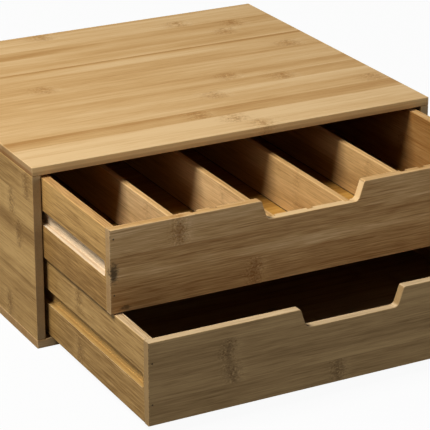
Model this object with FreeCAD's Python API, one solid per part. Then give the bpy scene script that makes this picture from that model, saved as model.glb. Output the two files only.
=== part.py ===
"""Two-drawer bamboo desk organizer.

Frame: X runs from the left side to the right side as seen from the front, the front
looks along -Y, Z is up, and the origin is the centre of the case's underside.
All lengths are in millimetres. The drawers are modelled as they stand at rest, both
partly pulled out.
"""
import FreeCAD
import Part
import math
import os

# ---- driving dimensions ----
CASE_WIDTH = 345.0
CASE_DEPTH = 300.0
CASE_HEIGHT = 146.0
BOARD = 7.0               # thickness of every case board and drawer wall
BACK_BOARD = 5.0          # thickness of the case's back
EASE = 0.6                # radius on the sanded edges of every board

FLOOR_GAP = 2.0           # free height between the case's bottom and the lower drawer
MIDDLE_GAP = 0.8          # between the drawers
TOP_GAP = 2.0             # between the upper drawer and the case's top
SIDE_PLAY = 4.0           # free width between a drawer and the case, both sides together
SIDE_SETTLE = 1.4         # how far each drawer has settled to one side of its play
DRAWER_LENGTH = 290.0     # from the front's face to the rear end
UPPER_PULL = 116.0        # how far each drawer is out at rest
LOWER_PULL = 169.0

NOTCH_TOP_WIDTH = 86.0
NOTCH_BOTTOM_WIDTH = 76.0
NOTCH_DEPTH = 15.0
NOTCH_FOOT_RADIUS = 4.0   # rounded inner corners of the notch
NOTCH_LIP_RADIUS = 2.0    # rounded outer corners of the notch

GROOVE_WIDTH = 12.0       # guide groove routed in each drawer side
GROOVE_DEPTH = 5.0
GROOVE_END_RADIUS = 3.0
GROOVE_STOP = 1.0         # wood left between the groove and the front
RUNNER_HEIGHT = 11.0
RUNNER_REACH = 5.0        # how far a runner stands out of the case side
RUNNER_SETBACK = 12.0     # from the case's front edge to the runner

FLOOR_THICKNESS = 4.0
FLOOR_RISE = 6.0          # underside of the floor above the drawer's bottom edge
DADO_DEPTH = 3.0          # how deep the floor sits in the walls

DIVIDER_THICKNESS = 5.0
DIVIDER_DROP = 0.6        # divider top below the bottom of the finger notch
SLOT_WIDTH = 5.3
SLOT_DEPTH = 3.0
SLOT_CLEARANCE = 0.2      # between a divider's end and the end of its slot

BRAD_RADIUS = 0.7
BRAD_LENGTH = 18.0
BRAD_SET = 0.3            # how deep a brad's head sits below the face
BRAD_INSET = 3.0          # from the drawer's outer side face
BACK_BRAD_INSET = 3.5     # from the drawer's rear end
UPPER_BRAD_HEIGHTS = (14.0, 56.5)
LOWER_BRAD_HEIGHTS = (16.0, 47.6)
RUNNER_BRAD_RADIUS = 0.6
RUNNER_BRAD_LENGTH = 8.0
RUNNER_BRADS = 3

# ---- worked out from them ----
CASE_FRONT = -CASE_DEPTH / 2
CASE_REAR = CASE_DEPTH / 2
INNER_LEFT = -CASE_WIDTH / 2 + BOARD
INNER_RIGHT = CASE_WIDTH / 2 - BOARD
CEILING = CASE_HEIGHT - BOARD
DRAWER_WIDTH = INNER_RIGHT - INNER_LEFT - SIDE_PLAY
DRAWER_HEIGHT = (CEILING - BOARD - FLOOR_GAP - MIDDLE_GAP - TOP_GAP) / 2
LOWER_BASE = BOARD + FLOOR_GAP
UPPER_BASE = LOWER_BASE + DRAWER_HEIGHT + MIDDLE_GAP
NOTCH_FLOOR = DRAWER_HEIGHT - NOTCH_DEPTH
GROOVE_LOW = (DRAWER_HEIGHT - GROOVE_WIDTH) / 2
FLOOR_TOP = FLOOR_RISE + FLOOR_THICKNESS
INSIDE_WIDTH = DRAWER_WIDTH - 2 * BOARD
INSIDE_REAR = DRAWER_LENGTH - BOARD


def save(name, shape):
    """Write one node."""
    shape.exportStep("parts/" + name + ".step")


def block(low, high):
    """Return a plain box between two corners."""
    size = [high[i] - low[i] for i in range(3)]
    return Part.makeBox(size[0], size[1], size[2], FreeCAD.Vector(*low))


def board(low, high):
    """Return a board between two corners with all its edges eased."""
    plain = block(low, high)
    return plain.makeFillet(EASE, plain.Edges)


def pin(start, direction, length, radius):
    """Return a round pin, or the hole for one."""
    return Part.makeCylinder(radius, length, FreeCAD.Vector(*start), FreeCAD.Vector(*direction))


def placed(shape, origin):
    """Return a copy of a shape moved from the drawer's own corner to its place."""
    moved = shape.copy()
    moved.translate(FreeCAD.Vector(*origin))
    return moved


# ---- the drawer, in its own frame: left front bottom corner at the origin ----

def rounded_outline(points):
    """Return a closed wire in the XZ plane; each point is (x, z, corner radius)."""
    count = len(points)
    edges = []
    entries = []
    exits = []
    arcs = []
    for i in range(count):
        x, z, radius = points[i]
        here = FreeCAD.Vector(x, 0, z)
        back = FreeCAD.Vector(points[i - 1][0], 0, points[i - 1][1]) - here
        ahead = FreeCAD.Vector(points[(i + 1) % count][0], 0, points[(i + 1) % count][1]) - here
        if radius == 0:
            entries.append(here)
            exits.append(here)
            arcs.append(None)
            continue
        back.normalize()
        ahead.normalize()
        half = back.getAngle(ahead) / 2
        setback = radius / math.tan(half)
        bisector = back + ahead
        bisector.normalize()
        middle = here + bisector * (radius / math.sin(half) - radius)
        entries.append(here + back * setback)
        exits.append(here + ahead * setback)
        arcs.append(Part.Arc(entries[-1], middle, exits[-1]).toShape())
    for i in range(count):
        if arcs[i] is not None:
            edges.append(arcs[i])
        edges.append(Part.LineSegment(exits[i], entries[(i + 1) % count]).toShape())
    return Part.Wire(Part.__sortEdges__(edges))


def slot_centres():
    """Return the slot positions for four dividers and for three, left to right."""
    places = []
    for dividers in (4, 3):
        pitch = (INSIDE_WIDTH - dividers * DIVIDER_THICKNESS) / (dividers + 1) + DIVIDER_THICKNESS
        first = BOARD + pitch - DIVIDER_THICKNESS / 2
        places.append([first + i * pitch for i in range(dividers)])
    return places


def slots(face, inward):
    """Return the divider slots cut in a wall whose inner face is at y = face."""
    low = min(face, face + inward * SLOT_DEPTH)
    high = max(face, face + inward * SLOT_DEPTH)
    cuts = []
    for group in slot_centres():
        for centre in group:
            cuts.append(block((centre - SLOT_WIDTH / 2, low, FLOOR_TOP),
                              (centre + SLOT_WIDTH / 2, high, DRAWER_HEIGHT + 1)))
    return cuts


def floor_blank():
    """Return the floor panel, which is also the shape of the dado around it."""
    low = BOARD - DADO_DEPTH
    return block((low, low, FLOOR_RISE),
                 (DRAWER_WIDTH - low, INSIDE_REAR + DADO_DEPTH, FLOOR_TOP))


def drawer_brads(heights):
    """Return the brads through the front and through the sides into the back."""
    brads = []
    for z in heights:
        for x in (BRAD_INSET, DRAWER_WIDTH - BRAD_INSET):
            brads.append(pin((x, BRAD_SET, z), (0, 1, 0), BRAD_LENGTH, BRAD_RADIUS))
        rear = DRAWER_LENGTH - BACK_BRAD_INSET
        brads.append(pin((BRAD_SET, rear, z), (1, 0, 0), BRAD_LENGTH, BRAD_RADIUS))
        brads.append(pin((DRAWER_WIDTH - BRAD_SET, rear, z), (-1, 0, 0), BRAD_LENGTH, BRAD_RADIUS))
    return brads


def brad_holes(heights):
    """Return the holes for the brads, open to the outer faces."""
    holes = drawer_brads(heights)
    for z in heights:
        for x in (BRAD_INSET, DRAWER_WIDTH - BRAD_INSET):
            holes.append(pin((x, -1, z), (0, 1, 0), BRAD_SET + 1, BRAD_RADIUS))
        rear = DRAWER_LENGTH - BACK_BRAD_INSET
        holes.append(pin((-1, rear, z), (1, 0, 0), BRAD_SET + 1, BRAD_RADIUS))
        holes.append(pin((DRAWER_WIDTH + 1, rear, z), (-1, 0, 0), BRAD_SET + 1, BRAD_RADIUS))
    return Part.makeCompound(holes)


def drawer_front(holes, slotted):
    """Return the front with its finger notch, the floor's dado and any divider slots."""
    middle = DRAWER_WIDTH / 2
    outline = [
        (0, 0, 0),
        (DRAWER_WIDTH, 0, 0),
        (DRAWER_WIDTH, DRAWER_HEIGHT, 0),
        (middle + NOTCH_TOP_WIDTH / 2, DRAWER_HEIGHT, NOTCH_LIP_RADIUS),
        (middle + NOTCH_BOTTOM_WIDTH / 2, NOTCH_FLOOR, NOTCH_FOOT_RADIUS),
        (middle - NOTCH_BOTTOM_WIDTH / 2, NOTCH_FLOOR, NOTCH_FOOT_RADIUS),
        (middle - NOTCH_TOP_WIDTH / 2, DRAWER_HEIGHT, NOTCH_LIP_RADIUS),
        (0, DRAWER_HEIGHT, 0),
    ]
    blank = Part.Face(rounded_outline(outline)).extrude(FreeCAD.Vector(0, BOARD, 0))
    rims = [edge for edge in blank.Edges if edge.BoundBox.YLength < BOARD / 2]
    front = blank.makeFillet(EASE, rims).cut(floor_blank())
    if slotted:
        for cut in slots(BOARD, -1):
            front = front.cut(cut)
    return front.cut(holes)


def drawer_side(holes, left):
    """Return a side with its guide groove, open at the rear, and the floor's dado."""
    outer = 0 if left else DRAWER_WIDTH
    inner = BOARD if left else DRAWER_WIDTH - BOARD
    low, high = min(outer, inner), max(outer, inner)
    side = board((low, BOARD, 0), (high, DRAWER_LENGTH, DRAWER_HEIGHT))
    wall = outer + GROOVE_DEPTH if left else outer - GROOVE_DEPTH
    beyond = outer - 1 if left else outer + 1
    start = BOARD + GROOVE_STOP
    groove = block((min(wall, beyond), start, GROOVE_LOW),
                   (max(wall, beyond), DRAWER_LENGTH + 1, GROOVE_LOW + GROOVE_WIDTH))
    ends = [edge for edge in groove.Edges
            if edge.BoundBox.XLength > 1 and edge.BoundBox.YMax < start + 1]
    groove = groove.makeFillet(GROOVE_END_RADIUS, ends)
    return side.cut(groove).cut(floor_blank()).cut(holes)


def drawer_back(holes, slotted):
    """Return the back, held between the sides."""
    back = board((BOARD, INSIDE_REAR, 0), (DRAWER_WIDTH - BOARD, DRAWER_LENGTH, DRAWER_HEIGHT))
    back = back.cut(floor_blank())
    if slotted:
        for cut in slots(INSIDE_REAR, 1):
            back = back.cut(cut)
    return back.cut(holes)


def dividers():
    """Return the four dividers, standing in the first set of slots."""
    front_end = BOARD - SLOT_DEPTH + SLOT_CLEARANCE
    rear_end = INSIDE_REAR + SLOT_DEPTH - SLOT_CLEARANCE
    pieces = []
    for centre in slot_centres()[0]:
        low = (centre - DIVIDER_THICKNESS / 2, front_end, FLOOR_TOP)
        high = (centre + DIVIDER_THICKNESS / 2, rear_end, NOTCH_FLOOR - DIVIDER_DROP)
        pieces.append(board(low, high))
    return pieces


def make_drawer(name, origin, heights, divided):
    """Write every node of one drawer."""
    holes = brad_holes(heights)
    save(name + "_front", placed(drawer_front(holes, divided), origin))
    save(name + "_left_side", placed(drawer_side(holes, True), origin))
    save(name + "_right_side", placed(drawer_side(holes, False), origin))
    save(name + "_back", placed(drawer_back(holes, divided), origin))
    save(name + "_floor", placed(floor_blank(), origin))
    save(name + "_brads", placed(Part.makeCompound(drawer_brads(heights)), origin))
    if divided:
        for number, divider in enumerate(dividers(), start=1):
            save("divider_" + str(number), placed(divider, origin))


# ---- the case ----

def make_case():
    """Write the case's boards."""
    half = CASE_WIDTH / 2
    save("top_panel", board((-half, CASE_FRONT, CEILING), (half, CASE_REAR, CASE_HEIGHT)))
    save("bottom_panel", board((-half, CASE_FRONT, 0), (half, CASE_REAR, BOARD)))
    save("back_panel", board((INNER_LEFT, CASE_REAR - BACK_BOARD, BOARD),
                             (INNER_RIGHT, CASE_REAR, CEILING)))


def make_runners(side, outer, inner, bases):
    """Write one case side and its two runners, with the holes for their brads."""
    panel = board((min(outer, inner), CASE_FRONT, BOARD), (max(outer, inner), CASE_REAR, CEILING))
    inward = 1 if inner > outer else -1
    tip = inner + inward * RUNNER_REACH
    front = CASE_FRONT + RUNNER_SETBACK
    rear = CASE_REAR - BACK_BOARD
    brads = []
    for level, base in bases:
        low = base + (DRAWER_HEIGHT - RUNNER_HEIGHT) / 2
        runner = board((min(inner, tip), front, low), (max(inner, tip), rear, low + RUNNER_HEIGHT))
        row = []
        for i in range(RUNNER_BRADS):
            y = front + (rear - front) * (i + 0.5) / RUNNER_BRADS
            row.append(pin((tip - inward * BRAD_SET, y, low + RUNNER_HEIGHT / 2),
                           (-inward, 0, 0), RUNNER_BRAD_LENGTH, RUNNER_BRAD_RADIUS))
        holes = Part.makeCompound([pin((tip + inward, brad.BoundBox.Center.y, low + RUNNER_HEIGHT / 2),
                                       (-inward, 0, 0), RUNNER_BRAD_LENGTH + BRAD_SET + 1,
                                       RUNNER_BRAD_RADIUS) for brad in row])
        save(level + "_" + side + "_runner", runner.cut(holes))
        panel = panel.cut(holes)
        brads += row
    save(side + "_side_panel", panel)
    return brads


os.makedirs("parts", exist_ok=True)
make_case()
levels = (("upper", UPPER_BASE), ("lower", LOWER_BASE))
runner_brads = make_runners("left", -CASE_WIDTH / 2, INNER_LEFT, levels)
runner_brads += make_runners("right", CASE_WIDTH / 2, INNER_RIGHT, levels)
save("runner_brads", Part.makeCompound(runner_brads))
drawer_left = INNER_LEFT + SIDE_PLAY / 2
make_drawer("upper_drawer", (drawer_left - SIDE_SETTLE, CASE_FRONT - UPPER_PULL, UPPER_BASE),
            UPPER_BRAD_HEIGHTS, True)
make_drawer("lower_drawer", (drawer_left + SIDE_SETTLE, CASE_FRONT - LOWER_PULL, LOWER_BASE),
            LOWER_BRAD_HEIGHTS, False)
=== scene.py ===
"""Looks, stage and camera for the two-drawer bamboo desk organizer.

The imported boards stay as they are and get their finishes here. Every board is
glued up from bamboo strips, so one set of shader node groups lays out the
strips, draws their fibres and nodes, and wears their edges, and each board
places them with its own sizes and tones. Lengths are in metres.
"""

import logging
import math
from dataclasses import dataclass, replace
from enum import Enum
from typing import Optional, Sequence, Union

import bmesh
import bpy
from mathutils import Euler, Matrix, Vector


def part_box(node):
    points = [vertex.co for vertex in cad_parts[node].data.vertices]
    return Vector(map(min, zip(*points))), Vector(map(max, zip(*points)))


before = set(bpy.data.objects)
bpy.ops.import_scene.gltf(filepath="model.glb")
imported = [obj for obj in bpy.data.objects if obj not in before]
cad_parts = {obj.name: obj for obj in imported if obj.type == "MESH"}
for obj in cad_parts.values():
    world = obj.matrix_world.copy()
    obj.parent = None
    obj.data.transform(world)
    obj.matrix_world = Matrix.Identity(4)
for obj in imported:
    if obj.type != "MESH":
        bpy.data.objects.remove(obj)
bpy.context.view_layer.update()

LOG = logging.getLogger("desk_organizer")
MM = 0.001
SENSOR_WIDTH = 36.0
VIEW_GAMMA = 0.85

# Sizes in the bamboo's figure.
SEAM_REACH = 0.5 * MM
NODE_WANDER = 9.0 * MM
NODE_RING = 2.4 * MM
NODE_SHOULDER = 4.5 * MM
NODE_BELL = 0.62
FIBRE_SWAY = 1.0 * MM
ARRIS_WEAR = 1.6 * MM
BUMP_DEPTH = 0.12 * MM
FACE_SEAM = (3.9 * MM, 2.2 * MM)
NODES_APART = 0.31
ONE_NODE_APART = 0.8

# How strongly each effect shows in a board's colour.
SEAM_SHARE = 0.14
NODE_SHARE = 0.7
DOTS_SHARE = 0.45
ENDS_SHARE = 0.75
WEAR_SHARE = 0.28
GROOVE_FIGURE_SHARE = 0.5
NOTCH_FIGURE_SHARE = 0.4
UNDER_ON_ENDS = 1.8
TONE_SPREAD = 0.35
NODE_STEP = -0.85
UNDER_STEP = -1.2
DRIFT_LEANS = (-0.32, 0.04, 0.7)

# How the lacquer takes the light.
ROUGHNESS = 0.54
SHEEN = 0.38
BUMP_STRENGTH = 0.3

# Where the finger notch and the grooves lie, how deep in a groove its painted shade grows, and
# the usual strips.
NOTCH_HALF_SPAN = 58 * MM
RIM_DEPTH = 0.8 * MM
GROOVE_SKIN = (0.15 * MM, 0.5 * MM)
GROOVE_BAND = (7.0 * MM, 6.3 * MM)
GROOVE_SHADE_DEPTH = (1.6 * MM, 4.9 * MM)
DRAWER_STRIP = 21.2 * MM
DIVIDER_STRIP = 19.3 * MM

Colour = tuple[float, float, float]
Number = Union["Signal", float]


def tint(red: int, green: int, blue: int) -> Colour:
    """Turn a paint-chart colour into the linear light a shader works in.

    Args:
        red: Red, from 0 to 255.
        green: Green, from 0 to 255.
        blue: Blue, from 0 to 255.

    Returns:
        The three linear values.
    """

    def linear(value: int) -> float:
        """Undo the display curve of one channel."""
        share = value / 255
        return share / 12.92 if share <= 0.04045 else ((share + 0.055) / 1.055) ** 2.4

    return linear(red), linear(green), linear(blue)


# ---- writing node trees ----


class Signal:
    """A value running through a node tree, with arithmetic that adds nodes."""

    def __init__(self, tree: bpy.types.NodeTree, socket: bpy.types.NodeSocket) -> None:
        """Keep the tree and the socket that gives the value."""
        self.tree = tree
        self.socket = socket

    def math(self, operation: str, *others: Number) -> "Signal":
        """Add a Math node that starts from this value.

        Args:
            operation: The Math node's operation.
            others: Its further inputs.

        Returns:
            The node's result.
        """
        node = self.tree.nodes.new("ShaderNodeMath")
        node.operation = operation
        for place, value in enumerate((self, *others)):
            feed(value, node.inputs[place])
        return Signal(self.tree, node.outputs[0])

    def __add__(self, other: Number) -> "Signal":
        """Add."""
        return self.math("ADD", other)

    def __sub__(self, other: Number) -> "Signal":
        """Subtract."""
        return self.math("SUBTRACT", other)

    def __mul__(self, other: Number) -> "Signal":
        """Multiply."""
        return self.math("MULTIPLY", other)

    def __truediv__(self, other: Number) -> "Signal":
        """Divide."""
        return self.math("DIVIDE", other)

    def hump(self, width: Number) -> "Signal":
        """Return a bell curve: 1 where this value is 0, fading over the width."""
        share = self / width
        return (share * share * -1.0).math("EXPONENT")

    def step(self, low: Number, high: Number) -> "Signal":
        """Return 0 up to low, 1 from high, and a smooth rise between them."""
        node = self.tree.nodes.new("ShaderNodeMapRange")
        node.interpolation_type = "SMOOTHSTEP"
        feed(self, node.inputs["Value"])
        feed(low, node.inputs["From Min"])
        feed(high, node.inputs["From Max"])
        return Signal(self.tree, node.outputs["Result"])

    def parts(self) -> tuple["Signal", "Signal", "Signal"]:
        """Split a vector into its three values."""
        node = self.tree.nodes.new("ShaderNodeSeparateXYZ")
        feed(self, node.inputs[0])
        return tuple(Signal(self.tree, output) for output in node.outputs)


def feed(value: Union[Number, Sequence[float]], socket: bpy.types.NodeSocket) -> None:
    """Link a signal to a socket, or set a plain value on it.

    Args:
        value: A signal, a number, or a vector or colour.
        socket: The input it goes to.
    """
    if isinstance(value, Signal):
        value.tree.links.new(value.socket, socket)
    else:
        socket.default_value = value


class Bench:
    """Adds nodes to one tree."""

    def __init__(self, tree: bpy.types.NodeTree) -> None:
        """Keep the tree."""
        self.tree = tree

    def vector(self, x: Number, y: Number, z: Number) -> Signal:
        """Join three values into a vector."""
        node = self.tree.nodes.new("ShaderNodeCombineXYZ")
        for value, socket in zip((x, y, z), node.inputs):
            feed(value, socket)
        return Signal(self.tree, node.outputs[0])

    def noise(self, place: Signal, detail: float, roughness: float = 0.5) -> Signal:
        """Read cloudy noise, of cell size 1, at a place.

        Args:
            place: Where to read it.
            detail: How many finer layers it has.
            roughness: How strong the finer layers are.

        Returns:
            Values from 0 to 1, around 0.5.
        """
        node = self.tree.nodes.new("ShaderNodeTexNoise")
        node.inputs["Scale"].default_value = 1.0
        node.inputs["Detail"].default_value = detail
        node.inputs["Roughness"].default_value = roughness
        feed(place, node.inputs["Vector"])
        return Signal(self.tree, node.outputs[0])

    def chances(self, place: Signal) -> tuple[Signal, Signal, Signal]:
        """Read three random values, each from 0 to 1, that hang on a place alone."""
        node = self.tree.nodes.new("ShaderNodeTexWhiteNoise")
        node.noise_dimensions = "3D"
        feed(place, node.inputs["Vector"])
        return Signal(self.tree, node.outputs["Color"]).parts()

    def blend(
        self,
        share: Number,
        under: Union[Signal, Colour],
        over: Union[Signal, Colour],
        kind: str = "MIX",
    ) -> Signal:
        """Mix two colours.

        Args:
            share: How much of the upper colour shows.
            under: The lower colour.
            over: The upper colour.
            kind: The Mix node's blend type.

        Returns:
            The mixed colour.
        """
        node = self.tree.nodes.new("ShaderNodeMix")
        node.data_type = "RGBA"
        node.blend_type = kind
        node.clamp_factor = True
        feed(share, node.inputs[0])
        for value, socket in ((under, node.inputs[6]), (over, node.inputs[7])):
            feed(value if isinstance(value, Signal) else (*value, 1.0), socket)
        return Signal(self.tree, node.outputs[2])

    def ramp(
        self, share: Signal, stops: Sequence[tuple[float, Colour]], stepped: bool = False
    ) -> Signal:
        """Look a colour up along a row of stops.

        Args:
            share: Where along the row, from 0 to 1.
            stops: Each stop's place and colour.
            stepped: Whether each colour holds up to the next stop.

        Returns:
            The colour found.
        """
        node = self.tree.nodes.new("ShaderNodeValToRGB")
        node.color_ramp.interpolation = "CONSTANT" if stepped else "LINEAR"
        elements = node.color_ramp.elements
        while len(elements) < len(stops):
            elements.new(1.0)
        for element, (place, colour) in zip(elements, stops):
            element.position = place
            element.color = (*colour, 1.0)
        feed(share, node.inputs[0])
        return Signal(self.tree, node.outputs[0])

    def place_group(
        self, group: bpy.types.NodeTree, **inputs: Union[Number, Sequence[float]]
    ) -> dict[str, Signal]:
        """Place a node group and feed its inputs.

        Args:
            group: The group.
            inputs: A value or signal for each input, by name, with _ for a space.

        Returns:
            The group's outputs by name.
        """
        node = self.tree.nodes.new("ShaderNodeGroup")
        node.node_tree = group
        for name, value in inputs.items():
            feed(value, node.inputs[name.replace("_", " ")])
        return {output.name: Signal(self.tree, output) for output in node.outputs}


def floats(*names: str) -> dict[str, str]:
    """Describe the sockets of a group that carry plain numbers."""
    return dict.fromkeys(names, "Float")


class GroupMaker(Bench):
    """Builds one shader node group with named inputs and outputs."""

    def __init__(self, name: str, inputs: dict[str, str], outputs: dict[str, str]) -> None:
        """Start the group.

        Args:
            name: The group's name.
            inputs: The kind of each input, by name: Float, Vector or Color.
            outputs: The kind of each output, by name.
        """
        super().__init__(bpy.data.node_groups.new(name, "ShaderNodeTree"))
        for names, way in ((inputs, "INPUT"), (outputs, "OUTPUT")):
            for label, kind in names.items():
                self.tree.interface.new_socket(
                    name=label, in_out=way, socket_type="NodeSocket" + kind
                )
        start = self.tree.nodes.new("NodeGroupInput")
        self.end = self.tree.nodes.new("NodeGroupOutput")
        self.given = {
            output.name: Signal(self.tree, output) for output in start.outputs if output.name
        }

    def give(self, **outputs: Signal) -> bpy.types.NodeTree:
        """Link the outputs and return the finished group."""
        for name, value in outputs.items():
            feed(value, self.end.inputs[name.replace("_", " ")])
        return self.tree


# ---- the shared effects ----


def make_strip_group() -> bpy.types.NodeTree:
    """Build the group that divides a board into glued strips.

    Returns:
        The group. Position runs along the fibres in x and across them in y.
    """
    maker = GroupMaker(
        "bamboo_strips",
        {"Position": "Vector", **floats("Strip Width", "Seed")},
        floats("Index", "Offset", "Seam", "Chance Tone", "Chance Node", "Chance Hue"),
    )
    given = maker.given
    _, across, _ = given["Position"].parts()
    count = across / given["Strip Width"]
    index = count.math("FLOOR")
    offset = count - index - 0.5
    rim = offset.math("ABSOLUTE") * given["Strip Width"]
    half = given["Strip Width"] * 0.5
    seam = rim.step(half - SEAM_REACH, half - SEAM_REACH * 0.1)
    tone, node, hue = maker.chances(maker.vector(index, given["Seed"], 0.37))
    return maker.give(
        Index=index, Offset=offset, Seam=seam, Chance_Tone=tone, Chance_Node=node, Chance_Hue=hue
    )


def make_figure_group() -> bpy.types.NodeTree:
    """Build the group that draws the fibres and nodes of each strip.

    Returns:
        The group. Value is 0 for the deepest wood and 1 for the palest.
    """
    maker = GroupMaker(
        "bamboo_figure",
        {
            "Position": "Vector",
            **floats("Index", "Offset", "Seed", "Tone"),
            **floats("Node Place", "Node Spacing", "Node Strength", "Node Reach"),
            **floats("Side Shade", "Streaks", "Threads"),
        },
        floats("Value", "Node", "Fleck", "Height"),
    )
    given = maker.given
    along, across, through = given["Position"].parts()
    lane = given["Index"] * 0.713 + given["Seed"]

    half_spacing = given["Node Spacing"] * 0.5
    from_node = along - given["Node Place"] + half_spacing
    run = from_node.math("FLOORED_MODULO", given["Node Spacing"])
    crook = maker.noise(maker.vector(lane, across * 170.0, through * 170.0), 2.0) - 0.5
    reach = run - half_spacing + crook * NODE_WANDER
    body = given["Offset"].hump(NODE_BELL) * given["Node Strength"]
    near = reach.hump(given["Node Reach"]) * body

    mottle = maker.noise(
        maker.vector(along * 230.0, across * 330.0 + lane * 9.0, through * 300.0), 2.0, 0.65
    )
    grit = maker.noise(
        maker.vector(along * 520.0, across * 640.0 + lane * 5.0, through * 600.0), 1.0, 0.6
    )
    sway = maker.noise(maker.vector(along * 7.0, across * 24.0, lane), 1.0) - 0.5
    swirl = (mottle - 0.5) * near * NODE_WANDER
    fibre = across + sway * FIBRE_SWAY + swirl
    cloud = maker.noise(maker.vector(along * 6.0 + lane, across * 26.0, through * 26.0), 1.0)
    slow = maker.noise(maker.vector(along * 2.2, fibre * 62.0 + lane * 7.0, through * 40.0), 1.0)
    broad = maker.noise(maker.vector(along * 3.6 + lane, fibre * 170.0, through * 90.0), 2.0)
    medium = maker.noise(maker.vector(along * 15.0, fibre * 560.0 + lane, through * 560.0), 2.0)
    fine = maker.noise(maker.vector(along * 45.0, fibre * 1100.0 + lane, through * 1100.0), 2.0)
    pores = maker.noise(maker.vector(along * 90.0 + lane, fibre * 900.0, through * 900.0), 1.0)
    dashes = maker.noise(maker.vector(along * 26.0, fibre * 640.0 - lane, through * 640.0), 1.0)
    fleck = pores.step(0.58, 0.74)
    dash = dashes.step(0.56, 0.72)

    ring = reach.hump(NODE_RING) * body * mottle.step(0.36, 0.56)
    speck = near * grit.step(0.54, 0.66) * mottle.step(0.40, 0.58)
    node = (near * mottle.step(0.40, 0.62) * 0.6 + ring * 0.3 + speck * 0.9).math("MINIMUM", 1.0)
    shoulder = (reach - given["Node Reach"]).hump(NODE_SHOULDER) * body
    bands = (cloud - 0.5) * 0.8 + (slow - 0.5) * 1.25 + (broad - 0.5) * 0.65
    bands = bands - given["Offset"].step(0.18, 0.52) * given["Side Shade"] * 0.8
    threads = (medium - 0.5) * 0.9 + (fine - 0.5) * 1.1 - dash * 0.28 - fleck * 0.16 + 0.08
    patch = (mottle - 0.5) * near * 1.2 + (grit - 0.5) * near * 2.2 + shoulder * 0.16
    value = given["Tone"] + bands * given["Streaks"] + threads * given["Threads"] + patch
    height = (fine - 0.5) * 0.5 + (medium - 0.5) * 0.3 - fleck * 0.4 - node * 0.5
    return maker.give(Value=value, Node=node, Fleck=fleck, Height=height)


def make_edge_group() -> bpy.types.NodeTree:
    """Build the group that finds the edges of a box-shaped board.

    Returns:
        The group. Edge is 1 on an edge of the board and fades over Reach.
    """
    maker = GroupMaker(
        "edge_wear",
        {"Position": "Vector", "Middle": "Vector", "Half Size": "Vector", **floats("Reach")},
        floats("Edge"),
    )
    given = maker.given
    gaps = [
        size - (here - middle).math("ABSOLUTE")
        for here, middle, size in zip(
            given["Position"].parts(), given["Middle"].parts(), given["Half Size"].parts()
        )
    ]
    first, second, third = gaps
    lower = first.math("MINIMUM", second)
    upper = first.math("MAXIMUM", second)
    nearest_edge = lower.math("MAXIMUM", upper.math("MINIMUM", third))
    chafe = maker.noise(
        maker.vector(*(part * 130.0 for part in given["Position"].parts())), 2.0, 0.6
    )
    reach = given["Reach"] * (chafe + 0.4)
    edge = nearest_edge.step(0.0, reach) * -1.0 + 1.0
    return maker.give(Edge=edge)


def make_end_group() -> bpy.types.NodeTree:
    """Build the group that draws the cut ends of the fibres.

    Returns:
        The group. End is 1 where a face cuts across the fibres, and Dots
        is 1 on the dark fibre bundles seen there.
    """
    maker = GroupMaker(
        "end_grain",
        {"Normal": "Vector", "Grain": "Vector", "Position": "Vector"},
        floats("End", "Dots"),
    )
    given = maker.given
    product = maker.tree.nodes.new("ShaderNodeVectorMath")
    product.operation = "DOT_PRODUCT"
    feed(given["Normal"], product.inputs[0])
    feed(given["Grain"], product.inputs[1])
    end = Signal(maker.tree, product.outputs["Value"]).math("ABSOLUTE").step(0.55, 0.85)
    _, across, through = given["Position"].parts()
    cells = maker.tree.nodes.new("ShaderNodeTexVoronoi")
    cells.inputs["Scale"].default_value = 1.0
    feed(maker.vector(0.0, across * 1500.0, through * 1500.0), cells.inputs["Vector"])
    dots = Signal(maker.tree, cells.outputs["Distance"]).step(0.34, 0.12)
    return maker.give(End=end, Dots=dots)


def make_stain_group() -> bpy.types.NodeTree:
    """Build the group that draws one mottled dark stain.

    Returns:
        The group. Stain is 1 at its darkest.
    """
    maker = GroupMaker(
        "dark_stain",
        {"Position": "Vector", "Centre": "Vector", "Size": "Vector"},
        floats("Stain"),
    )
    given = maker.given
    total: Optional[Signal] = None
    for here, centre, size in zip(
        given["Position"].parts(), given["Centre"].parts(), given["Size"].parts()
    ):
        share = (here - centre) / size
        total = share * share if total is None else total + share * share
    along, across, through = given["Position"].parts()
    cloud = maker.noise(maker.vector(along * 260.0, across * 520.0, through * 260.0), 3.0, 0.65)
    stain = ((total * -1.0).math("EXPONENT") + (cloud - 0.5) * 1.6).step(0.30, 0.95)
    return maker.give(Stain=stain)


@dataclass(frozen=True)
class Effects:
    """The shared node groups, each built once."""

    strips: bpy.types.NodeTree
    figure: bpy.types.NodeTree
    edges: bpy.types.NodeTree
    ends: bpy.types.NodeTree
    stain: bpy.types.NodeTree

    @classmethod
    def build(cls) -> "Effects":
        """Build every group."""
        return cls(
            strips=make_strip_group(),
            figure=make_figure_group(),
            edges=make_edge_group(),
            ends=make_end_group(),
            stain=make_stain_group(),
        )


# ---- finishes ----


class Grain(Enum):
    """How a board's fibres lie: the axis along them, across them and through it."""

    WIDE_FLAT = (0, 1, 2)
    WIDE_UPRIGHT = (0, 2, 1)
    DEEP_UPRIGHT = (1, 2, 0)


@dataclass(frozen=True)
class Strip:
    """One strip of a board whose strips are listed one by one.

    Attributes:
        tone: How pale it is, from 0 to 1.
        node: Where its node is, as a share of the board's length, or 1 for none.
        shade: How dark it turns towards its high side, from 0 to 1.
    """

    tone: float
    node: float = 1.0
    shade: float = 0.0


@dataclass(frozen=True)
class Stain:
    """A dark stain, placed from the board's low corner in millimetres."""

    centre: tuple[float, float, float]
    size: tuple[float, float, float]
    strength: float


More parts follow.
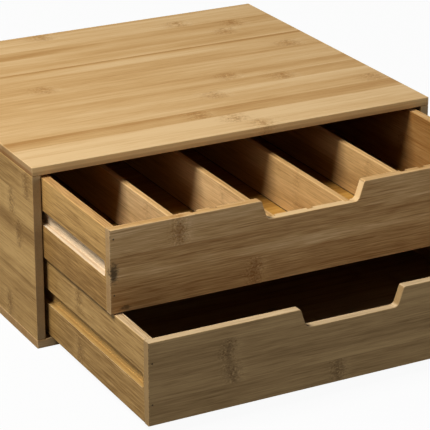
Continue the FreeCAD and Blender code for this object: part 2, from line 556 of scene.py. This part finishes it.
@dataclass(frozen=True)
class Shades:
    """The colours of one batch of bamboo.

    Attributes:
        middle: Its ordinary colour.
        contrast: How far its deepest fibres are from that.
        end_wash: What turns that colour into the colour of cut fibre ends.
        drift: How much faster than red the green and the blue fall in deeper wood.
    """

    middle: Colour
    contrast: float = 0.45
    end_wash: Colour = (1.0, 1.2, 1.6)
    drift: float = 1.0

    def shifted(self, step: float) -> Colour:
        """Return a paler shade for a step up and a warmer, deeper one for a step down."""
        rates = tuple(1.0 + lean * self.drift for lean in DRIFT_LEANS)
        return tuple(
            min(channel * math.exp(step * rate), 1.0)
            for channel, rate in zip(self.middle, rates)
        )

    @property
    def deep(self) -> Colour:
        """The deepest fibres."""
        return self.shifted(-self.contrast)

    @property
    def pale(self) -> Colour:
        """The palest fibres, which are nearer to the ordinary colour."""
        return self.shifted(self.contrast * 0.65)

    @property
    def node(self) -> Colour:
        """The dark fibres of a node."""
        return self.shifted(NODE_STEP)

    @property
    def end(self) -> Colour:
        """The cut ends of the fibres."""
        return tuple(
            min(channel * share, 1.0) for channel, share in zip(self.middle, self.end_wash)
        )


HONEY = Shades(tint(202, 167, 117), 0.42, (0.575, 0.53, 0.465))
TAN = Shades(tint(172, 138, 85), 0.55, (1.20, 1.46, 2.45), 0.5)
GOLDEN = Shades(tint(179, 142, 86), 0.55, drift=0.4)
RUSSET = Shades(tint(165, 123, 70), 0.5)
UMBER = Shades(tint(202, 165, 113), 0.75, (0.64, 0.66, 0.70), 0.9)
OLIVE = Shades(tint(174, 144, 99), 0.55, (0.83, 0.83, 0.84), 0.4)
BLOND = Shades(tint(211, 178, 129), 0.4, drift=0.5)
WHEAT = Shades(tint(203, 167, 114), 0.4, drift=0.5)
AMBER = Shades(tint(178, 134, 64), 0.45)
ASH = Shades(tint(176, 147, 105), 0.5, drift=0.6)
# Dark lines at chipped arrises, also used for painted contact shade along the dividers' low
# edges.
DARK_LINE_AND_SHADE = tint(46, 32, 18)
DARK_STAIN = tint(50, 36, 12)
DULL_BRASS = tint(118, 100, 76)
TARNISH = tint(84, 64, 44)


@dataclass(frozen=True)
class Groove:
    """The raw wood of a routed groove, with painted shade at its back.

    Attributes:
        ledge: The colour of its ledges.
        shaded_wall: The colour of its back, the raw wood darkened by painted shade.
    """

    ledge: Colour
    shaded_wall: Colour


# The second colour of each groove is its raw wood darkened by painted shade at the back.
CREAM = Groove(tint(230, 212, 184), tint(186, 154, 116))
CARAMEL = Groove(tint(194, 161, 102), tint(140, 103, 48))


@dataclass(frozen=True)
class BoardSignals:
    """What the shared node groups say about one board.

    Attributes:
        bench: Adds nodes to the board's material.
        low: The board's lowest corner.
        high: Its highest corner.
        place: The object coordinates.
        position: The coordinates along the grain, from the low corner.
        strips: The strip group's outputs.
        figure: The figure group's outputs.
        edge: 1 on the board's edges.
        ends: The end group's outputs for the cut fibre ends.
        rim: 1 on the narrow long faces.
    """

    bench: Bench
    low: Vector
    high: Vector
    place: Signal
    position: Signal
    strips: dict[str, Signal]
    figure: dict[str, Signal]
    edge: Signal
    ends: dict[str, Signal]
    rim: Signal

    def darkness(self, share: float) -> Signal:
        """Return how dark the figure is, weakened to a share."""
        return (self.figure["Value"] * -1.0 + 0.8) * share


@dataclass(frozen=True)
class BambooFinish:
    """A lacquered bamboo board.

    Attributes:
        grain: How its fibres lie.
        shades: Its colours.
        strip_width: The width of its strips.
        seed: Sets its chance features apart from other boards'.
        streaks: How strong its broad bands are.
        threads: How strong its fine fibre lines are.
        node_spacing: How far apart the nodes of a strip are.
        node_strength: How dark its nodes are.
        node_reach: How far its nodes reach along the grain.
        layout: Its strips listed one by one, from the low side, or none for chance.
        stains: Its dark stains.
        routed: Its routed groove, if it has one.
        rim: The colour of its narrow long faces, if that differs.
        notch: The colour of the cut faces in its finger notch, if that differs.
        under: How dark the lower half of its narrow faces is.
        ragged: How wide the chipped arris at its fibre ends is.
        foot_shade_height: How high the painted contact shade along its low edge is, where it
            stands on the floor.
    """

    grain: Grain
    shades: Shades = HONEY
    strip_width: float = 20 * MM
    seed: float = 0.0
    streaks: float = 1.0
    threads: float = 1.0
    node_spacing: float = NODES_APART
    node_strength: float = 0.8
    node_reach: float = 7.0 * MM
    layout: tuple[Strip, ...] = ()
    stains: tuple[Stain, ...] = ()
    routed: Optional[Groove] = None
    rim: Optional[Colour] = None
    notch: Optional[Colour] = None
    under: float = 0.0
    ragged: float = 0.0
    foot_shade_height: float = 0.0

    def make(
        self, name: str, effects: Effects, low: Vector, high: Vector
    ) -> bpy.types.Material:
        """Make the material for a board between two corners.

        Args:
            name: The material's name.
            effects: The shared node groups.
            low: The board's lowest corner.
            high: Its highest corner.

        Returns:
            The material.
        """
        material = bpy.data.materials.new(name)
        material.use_nodes = True
        tree = material.node_tree
        shader = tree.nodes["Principled BSDF"]
        board = self._read_board(Bench(tree), effects, low, high)
        colour = self._wood_colour(board)
        colour = self._cut_colour(board, colour)
        colour = self._marked_colour(board, effects, colour)
        feed(colour, shader.inputs["Base Color"])
        self._set_surface(board, shader)
        return material

    def _read_board(
        self, bench: Bench, effects: Effects, low: Vector, high: Vector
    ) -> BoardSignals:
        """Place the shared node groups for one board.

        Args:
            bench: Adds the nodes.
            effects: The shared node groups.
            low: The board's lowest corner.
            high: Its highest corner.

        Returns:
            What the groups give.
        """
        source = bench.tree.nodes.new("ShaderNodeTexCoord")
        place = Signal(bench.tree, source.outputs["Object"])
        normal = Signal(bench.tree, source.outputs["Normal"])
        position = self._along_the_grain(bench, place, low)
        strips = bench.place_group(
            effects.strips, Position=position, Strip_Width=self.strip_width, Seed=self.seed
        )
        tone, node_place, side_shade = self._strip_plan(bench, strips, low, high)
        figure = bench.place_group(
            effects.figure,
            Position=position,
            Index=strips["Index"],
            Offset=strips["Offset"],
            Seed=self.seed,
            Tone=tone,
            Node_Place=node_place,
            Node_Spacing=self.node_spacing,
            Node_Strength=self.node_strength,
            Node_Reach=self.node_reach,
            Side_Shade=side_shade,
            Streaks=self.streaks,
            Threads=self.threads,
        )
        edges = bench.place_group(
            effects.edges,
            Position=place,
            Middle=(low + high) / 2,
            Half_Size=(high - low) / 2,
            Reach=ARRIS_WEAR,
        )
        ends, rims = (
            bench.place_group(
                effects.ends,
                Normal=normal,
                Grain=[float(side == axis) for side in range(3)],
                Position=position,
            )
            for axis in self.grain.value[:2]
        )
        return BoardSignals(
            bench, low, high, place, position, strips, figure, edges["Edge"], ends, rims["End"]
        )

    def _wood_colour(self, board: BoardSignals) -> Signal:
        """Colour the strips, their nodes, the cut ends, the rims and the worn arrises.

        Args:
            board: What the shared groups say about the board.

        Returns:
            The colour.
        """
        bench, shades, ends = board.bench, self.shades, board.ends
        colour = bench.ramp(
            board.figure["Value"], ((0.0, shades.deep), (0.5, shades.middle), (1.0, shades.pale))
        )
        colour = bench.blend(board.strips["Seam"] * SEAM_SHARE, colour, shades.deep)
        colour = bench.blend(board.figure["Node"] * NODE_SHARE, colour, shades.node)
        end_colour = bench.blend(ends["Dots"] * DOTS_SHARE, shades.end, shades.node)
        colour = bench.blend(ends["End"] * ENDS_SHARE, colour, end_colour)
        if self.rim:
            wash = tuple(rim / middle for rim, middle in zip(self.rim, shades.middle))
            toned = bench.blend(1.0, colour, wash, "MULTIPLY")
            colour = bench.blend(board.rim, colour, toned)
        return bench.blend(board.edge * WEAR_SHARE, colour, shades.pale)

    def _cut_colour(self, board: BoardSignals, colour: Signal) -> Signal:
        """Colour the lower half of the narrow faces, the groove with its painted shade, and the
        finger notch.

        Args:
            board: What the shared groups say about the board.
            colour: The colour so far.

        Returns:
            The colour with these.
        """
        bench, end = board.bench, board.ends["End"]
        if self.under:
            _, _, through = board.position.parts()
            narrow = (end * UNDER_ON_ENDS + board.rim).math("MINIMUM", UNDER_ON_ENDS)
            shade = narrow * through.step(*FACE_SEAM) * self.under
            colour = bench.blend(shade, colour, self.shades.shifted(UNDER_STEP))
        if self.routed:
            inside, deep = self._routed_part(board)
            # The groove darkens towards its back: painted shade in the recess.
            wood = bench.blend(deep, self.routed.ledge, self.routed.shaded_wall)
            share = board.darkness(GROOVE_FIGURE_SHARE)
            wood = bench.blend(share, wood, self.shades.deep)
            colour = bench.blend(inside, colour, wood)
        if self.notch:
            narrow = (end + board.rim).math("MINIMUM", 1.0)
            share = board.darkness(NOTCH_FIGURE_SHARE)
            wood = bench.blend(share, self.notch, self.shades.middle)
            colour = bench.blend(self._notch_part(board) * narrow, colour, wood)
        return colour

    def _marked_colour(self, board: BoardSignals, effects: Effects, colour: Signal) -> Signal:
        """Colour the dark lines, the painted contact shade along the low edge, and the stains.

        Args:
            board: What the shared groups say about the board.
            effects: The shared node groups.
            colour: The colour so far.

        Returns:
            The colour with these.
        """
        bench = board.bench
        # Dark lines at the chipped fibre ends, and painted contact shade along the low edge.
        if self.ragged or self.foot_shade_height:
            lines = self._dark_lines_and_shade(board) * (board.ends["End"] * -1.0 + 1.0)
            colour = bench.blend(lines, colour, DARK_LINE_AND_SHADE)
        for stain in self.stains:
            mask = bench.place_group(
                effects.stain,
                Position=board.position,
                Centre=[value * MM for value in stain.centre],
                Size=[value * MM for value in stain.size],
            )["Stain"]
            colour = bench.blend(mask * stain.strength, colour, DARK_STAIN)
        return colour

    def _set_surface(self, board: BoardSignals, shader: bpy.types.Node) -> None:
        """Set how dull and how uneven the lacquer is.

        Args:
            board: What the shared groups say about the board.
            shader: The material's shader.
        """
        tree = board.bench.tree
        figure, ends = board.figure, board.ends
        rough = figure["Value"] * -0.08 + board.edge * 0.10 + ends["End"] * 0.16
        rough = rough + figure["Fleck"] * 0.08 + ROUGHNESS
        feed(rough, shader.inputs["Roughness"])
        shader.inputs["Specular IOR Level"].default_value = SHEEN
        bump = tree.nodes.new("ShaderNodeBump")
        bump.inputs["Strength"].default_value = BUMP_STRENGTH
        bump.inputs["Distance"].default_value = BUMP_DEPTH
        height = figure["Height"] - board.strips["Seam"] * 0.5 - ends["Dots"] * ends["End"] * 0.6
        feed(height, bump.inputs["Height"])
        tree.links.new(bump.outputs["Normal"], shader.inputs["Normal"])

    def _along_the_grain(self, bench: Bench, place: Signal, low: Vector) -> Signal:
        """Turn object coordinates so that x runs along the fibres from the low corner.

        Args:
            bench: Adds the nodes.
            place: The object coordinates.
            low: The board's lowest corner.

        Returns:
            The turned coordinates.
        """
        parts = place.parts()
        turned = bench.vector(*(parts[axis] for axis in self.grain.value))
        mapping = bench.tree.nodes.new("ShaderNodeMapping")
        mapping.inputs["Location"].default_value = [-low[axis] for axis in self.grain.value]
        feed(turned, mapping.inputs["Vector"])
        return Signal(bench.tree, mapping.outputs[0])

    def _notch_part(self, board: BoardSignals) -> Signal:
        """Mark the middle of the board below its top edge, where the finger notch is.

        Args:
            board: What the shared groups say about the board.

        Returns:
            1 around the notch and 0 elsewhere.
        """
        along, across, _ = board.position.parts()
        length, height, _ = (board.high[axis] - board.low[axis] for axis in self.grain.value)
        span = (along - length / 2).math("ABSOLUTE")
        middle = span.step(NOTCH_HALF_SPAN + 2 * MM, NOTCH_HALF_SPAN)
        below_rim = across.step(height - RIM_DEPTH, height - 2 * RIM_DEPTH)
        return middle * below_rim * across.step(height / 2, height / 2 + 1 * MM)

    def _dark_lines_and_shade(self, board: BoardSignals) -> Signal:
        """Mark the chipped arris at the fibre ends and the painted contact shade along the low
        edge.

        Args:
            board: What the shared groups say about the board.

        Returns:
            How dark the line or the painted contact shade is.
        """
        bench = board.bench
        along, across, through = board.position.parts()
        length = board.high[self.grain.value[0]] - board.low[self.grain.value[0]]
        gap = along.math("MINIMUM", along * -1.0 + length)
        chips = bench.noise(bench.vector(along * 60.0, across * 420.0, through * 200.0), 3.0, 0.7)
        arris = (gap - (chips - 0.42) * (self.ragged * 2.0)).step(0.35 * MM, 0.0) * chips
        if not self.foot_shade_height:
            return arris * 1.1
        # Painted contact shade along the low edge, where the board stands on the floor.
        foot_shade = (across - self.foot_shade_height).step(0.4 * MM, -0.2 * MM)
        return (arris * 0.9 + foot_shade * 0.85).math("MINIMUM", 1.0)

    def _routed_part(self, board: BoardSignals) -> tuple[Signal, Signal]:
        """Mark the routed groove, which is the only outer wood below the faces.

        Args:
            board: What the shared groups say about the board.

        Returns:
            1 in the groove and 0 elsewhere, and how far its painted shade has grown, from the
            ledges to the back.
        """
        x, _, z = board.place.parts()
        middle = (board.low + board.high) / 2
        half_width = (board.high.x - board.low.x) / 2
        depth = (x - middle.x).math("ABSOLUTE") * -1.0 + half_width
        band = (z - middle.z).math("ABSOLUTE")
        inside = depth.step(*GROOVE_SKIN) * band.step(*GROOVE_BAND)
        return inside, depth.step(*GROOVE_SHADE_DEPTH)

    def _strip_plan(
        self, bench: Bench, strips: dict[str, Signal], low: Vector, high: Vector
    ) -> tuple[Signal, Signal, Signal]:
        """Return what sets one strip apart from the next.

        Args:
            bench: Adds the nodes.
            strips: The strip group's outputs.
            low: The board's lowest corner.
            high: Its highest corner.

        Returns:
            The strip's tone, its node's place in metres, and its side shade.
        """
        if not self.layout:
            tone = (strips["Chance Tone"] - 0.5) * TONE_SPREAD + 0.5
            shade = strips["Chance Hue"].step(0.6, 1.0) * 0.5
            return tone, strips["Chance Node"] * self.node_spacing, shade
        length = high[self.grain.value[0]] - low[self.grain.value[0]]
        count = len(self.layout)
        stops = [
            (number / count, (strip.tone, strip.node, strip.shade))
            for number, strip in enumerate(self.layout)
        ]
        share = (strips["Index"] + 0.5) / float(count)
        tone, node, shade = bench.ramp(share, stops, stepped=True).parts()
        # A node at 1 is pushed off the board's end.
        place = node * length + node.step(0.985, 0.99) * 0.1
        return tone, place, shade


@dataclass(frozen=True)
class BradFinish:
    """The tarnished metal of the brads."""

    name: str = "brad_steel"

    def make(self) -> bpy.types.Material:
        """Make the material."""
        material = bpy.data.materials.new(self.name)
        material.use_nodes = True
        tree = material.node_tree
        bench = Bench(tree)
        shader = tree.nodes["Principled BSDF"]
        source = tree.nodes.new("ShaderNodeTexCoord")
        parts = Signal(tree, source.outputs["Object"]).parts()
        tarnish = bench.noise(bench.vector(*(part * 2400.0 for part in parts)), 3.0, 0.6)
        colour = bench.blend(tarnish.step(0.4, 0.65), DULL_BRASS, TARNISH)
        feed(colour, shader.inputs["Base Color"])
        feed(tarnish * 0.3 + 0.35, shader.inputs["Roughness"])
        shader.inputs["Metallic"].default_value = 0.5
        return material


# ---- the parts of the organizer ----


def dress(node: str, material: bpy.types.Material) -> None:
    """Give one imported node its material.

    Args:
        node: The node's name.
        material: The material for all of it.
    """
    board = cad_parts[node]
    board.data.materials.clear()
    board.data.materials.append(material)
    LOG.info("%s gets %s", node, material.name)


def dress_board(node: str, finish: BambooFinish, effects: Effects) -> None:
    """Give one board its own bamboo.

    Args:
        node: The node's name.
        finish: The board's finish.
        effects: The shared node groups.
    """
    low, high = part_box(node)
    name = node.removesuffix("_panel") + "_bamboo"
    dress(node, finish.make(name, effects, low, high))


@dataclass
class Case:
    """The outer case and its runners.

    Attributes:
        effects: The shared node groups.
        top_layout: The strips of its top, from the front.
        left_layout: The strips of its left side, from the bottom.
    """

    effects: Effects
    top_layout: tuple[Strip, ...] = (
        Strip(0.80, 0.57), Strip(0.82, 0.535), Strip(0.34, 0.47, 0.3), Strip(0.60, 0.965),
        Strip(0.64, 0.57), Strip(0.38, 0.78), Strip(0.46, 0.66), Strip(0.56),
        Strip(0.44, 0.23, 0.2), Strip(0.52, 0.92), Strip(0.50, 1.0, 1.2), Strip(0.56, 0.02),
        Strip(0.66, 0.83), Strip(0.48, 0.88), Strip(0.62, 0.745), Strip(0.66, 0.39),
    )
    left_layout: tuple[Strip, ...] = (
        Strip(0.46, 0.173), Strip(0.38), Strip(0.56, 0.62),
        Strip(0.54, 0.093), Strip(0.60, 0.14), Strip(0.38, 0.043),
    )

    def dress(self) -> None:
        """Give every board of the case its finish."""
        boards = {
            "top_panel": BambooFinish(
                Grain.WIDE_FLAT,
                strip_width=18.75 * MM,
                seed=1.3,
                layout=self.top_layout,
                streaks=0.8,
                threads=0.5,
                node_spacing=ONE_NODE_APART,
                node_strength=1.0,
                node_reach=11 * MM,
                rim=tint(216, 182, 126),
                under=0.35,
            ),
            "bottom_panel": BambooFinish(Grain.WIDE_FLAT, seed=4.1, rim=tint(213, 179, 130)),
            "back_panel": BambooFinish(Grain.WIDE_UPRIGHT, seed=7.7),
        }
        for side, seed, layout in (("left", 11.2, self.left_layout), ("right", 14.9, ())):
            boards[f"{side}_side_panel"] = BambooFinish(
                Grain.DEEP_UPRIGHT,
                TAN,
                strip_width=22 * MM,
                seed=seed,
                layout=layout,
                node_spacing=ONE_NODE_APART if layout else NODES_APART,
                node_strength=1.4 if layout else 0.9,
            )
            for level in ("upper", "lower"):
                boards[f"{level}_{side}_runner"] = BambooFinish(
                    Grain.DEEP_UPRIGHT, seed=seed + len(level) * 0.7, strip_width=30 * MM
                )
        for node, finish in boards.items():
            dress_board(node, finish, self.effects)


@dataclass
class Drawer:
    """One drawer with its dividers.

    Attributes:
        name: What its nodes' names begin with.
        effects: The shared node groups.
        seed: Sets its chance features apart from the other drawer's.
        front: The shades of its front.
        rim: The colour of its top edges.
        side_rim: The colour of its left side's top edge.
        groove: The wood of its routed grooves, with painted shade at their backs.
        front_layout: The strips of its front, from the bottom.
        side_layout: The strips of its left side, from the bottom.
        front_nodes: How dark the nodes of its front are.
        front_strip: How wide the strips of its front are.
        notch: The colour of the cut faces in its finger notch, if that differs.
        left: The shades of its left side.
        right: The shades of its right side.
        floor: The shades of its floor.
        stains: The dark stains on its front.
        dividers: How many dividers stand in it.
    """

    name: str
    effects: Effects
    seed: float
    front: Shades
    rim: Colour
    side_rim: Colour
    groove: Groove
    front_layout: tuple[Strip, ...]
    side_layout: tuple[Strip, ...]
    front_nodes: float = 1.5
    front_strip: float = DRAWER_STRIP
    notch: Optional[Colour] = None
    left: Shades = TAN
    right: Shades = RUSSET
    floor: Shades = AMBER
    stains: tuple[Stain, ...] = ()
    dividers: int = 0

    def dress(self) -> None:
        """Give every board of the drawer its finish."""
        boards = {
            "front": BambooFinish(
                Grain.WIDE_UPRIGHT,
                self.front,
                layout=self.front_layout,
                streaks=0.62,
                threads=0.8,
                node_strength=self.front_nodes,
                node_spacing=ONE_NODE_APART,
                stains=self.stains,
                rim=self.rim,
                notch=self.notch,
                ragged=1.1 * MM,
            ),
            "back": BambooFinish(Grain.WIDE_UPRIGHT, TAN, rim=self.rim),
            "left_side": BambooFinish(
                Grain.DEEP_UPRIGHT,
                self.left,
                layout=self.side_layout,
                node_strength=1.3,
                streaks=0.55,
                threads=1.4,
                node_spacing=ONE_NODE_APART,
                routed=self.groove,
                rim=self.side_rim,
            ),
            "right_side": BambooFinish(
                Grain.DEEP_UPRIGHT, self.right, routed=self.groove, rim=self.rim
            ),
            "floor": BambooFinish(Grain.WIDE_FLAT, self.floor),
        }
        for number, (board, finish) in enumerate(boards.items()):
            width = self.front_strip if board == "front" else DRAWER_STRIP
            finish = replace(finish, seed=self.seed + number * 1.9, strip_width=width)
            dress_board(f"{self.name}_{board}", finish, self.effects)
        for number in range(1, self.dividers + 1):
            finish = BambooFinish(
                Grain.DEEP_UPRIGHT,
                BLOND if number < 3 else WHEAT,
                seed=self.seed + 20 + number,
                strip_width=DIVIDER_STRIP,
                layout=(Strip(0.44 + 0.02 * number), Strip(0.60 - 0.02 * number)),
                node_strength=0.4,
                rim=self.rim,
                # Painted contact shade along the divider's low edge, where it stands on the
                # floor.
                foot_shade_height=0.9 * MM,
            )
            dress_board(f"divider_{number}", finish, self.effects)


# ---- the stage ----


@dataclass(frozen=True)
class Softbox:
    """One area light.

    Attributes:
        name: Its name.
        place: Where it hangs.
        aim: What it points at.
        size: Its width and height.
        power: Its power in watts.
    """

    name: str
    place: tuple[float, float, float]
    aim: tuple[float, float, float]
    size: tuple[float, float]
    power: float

    def hang(self) -> None:
        """Put the light in the scene."""
        lamp = bpy.data.lights.new(self.name, "AREA")
        lamp.shape = "RECTANGLE"
        lamp.size, lamp.size_y = self.size
        lamp.energy = self.power
        holder = bpy.data.objects.new(self.name, lamp)
        holder.location = self.place
        aim = Vector(self.aim) - Vector(self.place)
        holder.rotation_euler = aim.to_track_quat("-Z", "Y").to_euler()
        bpy.context.scene.collection.objects.link(holder)


@dataclass(frozen=True)
class Stage:
    """The floor, the surrounding light and the lamps.

    Attributes:
        floor_size: The side of the square floor.
        floor_shade: What the floor looks like.
        floor_bounce: How much light the floor gives back.
        ambient: The light that comes from all round.
        lamps: The softboxes.
    """

    floor_size: float = 14.0
    floor_shade: float = 1.06
    floor_bounce: float = 0.25
    ambient: float = 0.03
    lamps: tuple[Softbox, ...] = (
        Softbox("key", (-1.24, -0.15, 1.94), (0.0, -0.15, 0.1), (1.0, 0.45), 58.0),
        Softbox("left_fill", (-2.3, -0.5, 0.75), (-0.16, -0.2, 0.07), (1.2, 0.5), 7.6),
        Softbox("front_fill", (0.9, -2.5, 0.42), (0.0, -0.2, 0.06), (1.6, 0.6), 11.4),
        Softbox("right_fill", (2.4, -0.4, 0.7), (0.17, -0.1, 0.07), (1.2, 0.6), 4.0),
        Softbox("back_fill", (2.7, 1.5, 1.9), (0.0, 0.0, 0.08), (1.2, 1.2), 24.0),
    )

    def build(self) -> None:
        """Build the floor, the world and the lamps."""
        self._lay_floor()
        self._light_world()
        for lamp in self.lamps:
            lamp.hang()

    def _lay_floor(self) -> None:
        """Lay the pale floor at the object's feet."""
        mesh = bpy.data.meshes.new("floor")
        sheet = bmesh.new()
        bmesh.ops.create_grid(sheet, x_segments=1, y_segments=1, size=self.floor_size / 2)
        sheet.to_mesh(mesh)
        sheet.free()
        floor = bpy.data.objects.new("floor", mesh)
        bpy.context.scene.collection.objects.link(floor)
        material = bpy.data.materials.new("pale_floor")
        material.use_nodes = True
        tree = material.node_tree
        shader = tree.nodes["Principled BSDF"]
        shader.inputs["Base Color"].default_value = (*(self.floor_bounce,) * 3, 1.0)
        shader.inputs["Roughness"].default_value = 0.9
        shader.inputs["Specular IOR Level"].default_value = 0.1
        seen = tree.nodes.new("ShaderNodeLightPath")
        glow = tree.nodes.new("ShaderNodeEmission")
        glow.inputs["Color"].default_value = (*(self.floor_shade,) * 3, 1.0)
        share = Signal(tree, seen.outputs["Is Camera Ray"]) * 0.9
        mix = tree.nodes.new("ShaderNodeMixShader")
        feed(share, mix.inputs[0])
        tree.links.new(shader.outputs[0], mix.inputs[1])
        tree.links.new(glow.outputs[0], mix.inputs[2])
        tree.links.new(mix.outputs[0], tree.nodes["Material Output"].inputs["Surface"])
        mesh.materials.append(material)

    def _light_world(self) -> None:
        """Set the pale surround that the camera sees and the dim light it gives."""
        world = bpy.data.worlds.new("studio")
        bpy.context.scene.world = world
        world.use_nodes = True
        tree = world.node_tree
        backdrop = tree.nodes["Background"]
        backdrop.inputs["Color"].default_value = (1.0, 1.0, 1.0, 1.0)
        seen = Signal(tree, tree.nodes.new("ShaderNodeLightPath").outputs["Is Camera Ray"])
        strength = seen * (self.floor_shade - self.ambient) + self.ambient
        feed(strength, backdrop.inputs["Strength"])


@dataclass(frozen=True)
class Camera:
    """The camera, by where it stands and which way it looks.

    Attributes:
        place: Where it stands.
        heading: How far it is turned to the right from straight back, in degrees.
        tilt: How far it looks down, in degrees.
        lens: Its focal length in millimetres on a 36 mm sensor.
    """

    place: tuple[float, float, float] = (-0.7510, -1.5290, 0.7073)
    heading: float = 27.90
    tilt: float = 21.88
    lens: float = 182.3

    def set_up(self) -> None:
        """Put the camera in the scene and make it the scene's own."""
        eye = bpy.data.cameras.new("camera")
        eye.lens = self.lens
        eye.sensor_width = SENSOR_WIDTH
        eye.clip_end = 50.0
        holder = bpy.data.objects.new("camera", eye)
        holder.location = self.place
        holder.rotation_euler = Euler(
            (math.radians(90 - self.tilt), 0.0, math.radians(-self.heading))
        )
        bpy.context.scene.collection.objects.link(holder)
        bpy.context.scene.camera = holder


def main() -> None:
    """Build the looks, the stage and the camera in order."""
    logging.basicConfig(level=logging.INFO, format="%(name)s: %(message)s")
    view = bpy.context.scene.view_settings
    view.view_transform = "Standard"
    view.gamma = VIEW_GAMMA
    effects = Effects.build()
    Case(effects).dress()
    Drawer(
        "upper_drawer",
        effects,
        seed=30.0,
        front=UMBER,
        rim=tint(204, 166, 112),
        side_rim=tint(188, 148, 96),
        groove=CREAM,
        left=GOLDEN,
        front_layout=(Strip(0.22, 0.352), Strip(0.42), Strip(0.58, 0.168)),
        side_layout=(Strip(0.12), Strip(0.40), Strip(0.60)),
        front_nodes=1.2,
        notch=tint(222, 192, 146),
        stains=(Stain((3.2, 31, 0), (4.5, 9, 9), 0.78), Stain((11.5, 3.5, 0), (5, 2.2, 9), 0.6)),
        dividers=4,
    ).dress()
    Drawer(
        "lower_drawer",
        effects,
        seed=60.0,
        front=OLIVE,
        rim=tint(193, 168, 131),
        side_rim=tint(214, 187, 148),
        groove=CARAMEL,
        right=OLIVE,
        floor=ASH,
        front_layout=(Strip(0.44, 0.465), Strip(0.51, 0.2), Strip(0.49, 0.19), Strip(0.55)),
        front_strip=18.0 * MM,
        side_layout=(Strip(0.28, 0.378), Strip(0.40), Strip(0.46, 0.378)),
    ).dress()
    brads = BradFinish().make()
    for node in ("runner_brads", "upper_drawer_brads", "lower_drawer_brads"):
        dress(node, brads)
    Camera().set_up()
    Stage().build()


if __name__ == "__main__":
    main()
